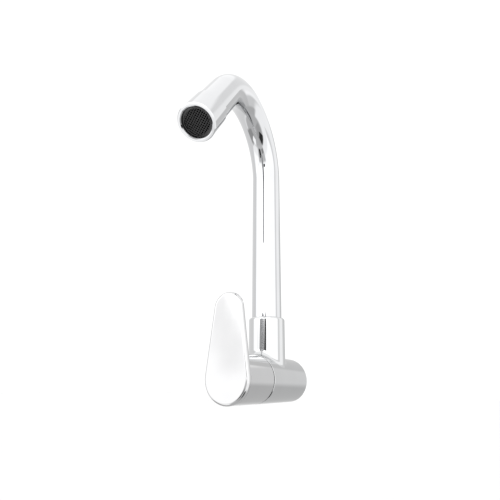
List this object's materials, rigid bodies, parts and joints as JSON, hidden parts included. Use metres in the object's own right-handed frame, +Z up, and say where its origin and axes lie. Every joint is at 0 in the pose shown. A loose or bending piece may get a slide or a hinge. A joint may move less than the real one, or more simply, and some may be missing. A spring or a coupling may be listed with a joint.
{
  "type": "wall-mounted swivel-spout sink tap",
  "caption": "Wall-mounted single-lever sink tap: horizontal barrel body, tall swivelling tube spout with a down-turned end and aerator, and a drop-shaped front lever.",
  "frame": {"origin": "on the axis of the inlet, at the body's wall face", "axes": "+Y into the wall along the inlet, -Y forward to the lever, +Z up along the spout, +X to the right as seen from the front"},
  "size_m": [0.0456, 0.1932, 0.26],
  "materials": {
    "body_chrome": "bright chrome plate on cast brass",
    "lever_chrome": "bright chrome plate on cast metal",
    "spout_chrome": "bright chrome plate on drawn brass tube",
    "brass": "turned, unplated",
    "steel": "stainless",
    "rubber": "moulded black rubber",
    "black_plastic": "moulded black acetal",
    "grey_plastic": "moulded grey acetal",
    "white_plastic": "natural white acetal",
    "ceramic": "lapped alumina ceramic"
  },
  "bodies": {
    "tap": {"tap_body": "body_chrome", "inlet_nipple": "brass", "nipple_seal": "rubber", "seat_seal": "rubber", "fixed_disc": "ceramic", "headwork_housing": "brass", "headwork_washer": "rubber", "spindle_washer": "white_plastic", "sleeve_glide_ring": "black_plastic", "spout_bush": "white_plastic", "spout_slip_washer": "white_plastic", "spout_retaining_screw": "steel"},
    "handle": {"lever": "lever_chrome", "handle_sleeve": "lever_chrome", "screw_hole_plug": "grey_plastic", "lever_clamp_screw": "steel", "spline_adapter": "white_plastic", "spindle": "brass", "spindle_o_rings": "rubber", "spindle_clip": "steel", "moving_disc": "ceramic"},
    "spout": {"spout_foot": "brass", "spout_o_rings": "rubber", "spout_tube": "spout_chrome", "spout_collar": "spout_chrome", "aerator_housing": "black_plastic", "aerator_grid": "black_plastic", "aerator_mesh": "black_plastic", "aerator_diffuser": "grey_plastic", "aerator_screen": "grey_plastic", "aerator_washer": "rubber"}
  },
  "joints": [
    {"name": "lever_turn", "type": "hinge", "parent": "tap", "child": "handle", "pos_m": [0, -0.1, 0], "axis": [0, -1, 0], "range_deg": [0, 90]},
    {"name": "spout_swing", "type": "hinge", "parent": "tap", "child": "spout", "pos_m": [0, -0.0415, 0.04], "axis": [0, 0, 1], "range_deg": [-106.4, 93.6]}
  ]
}
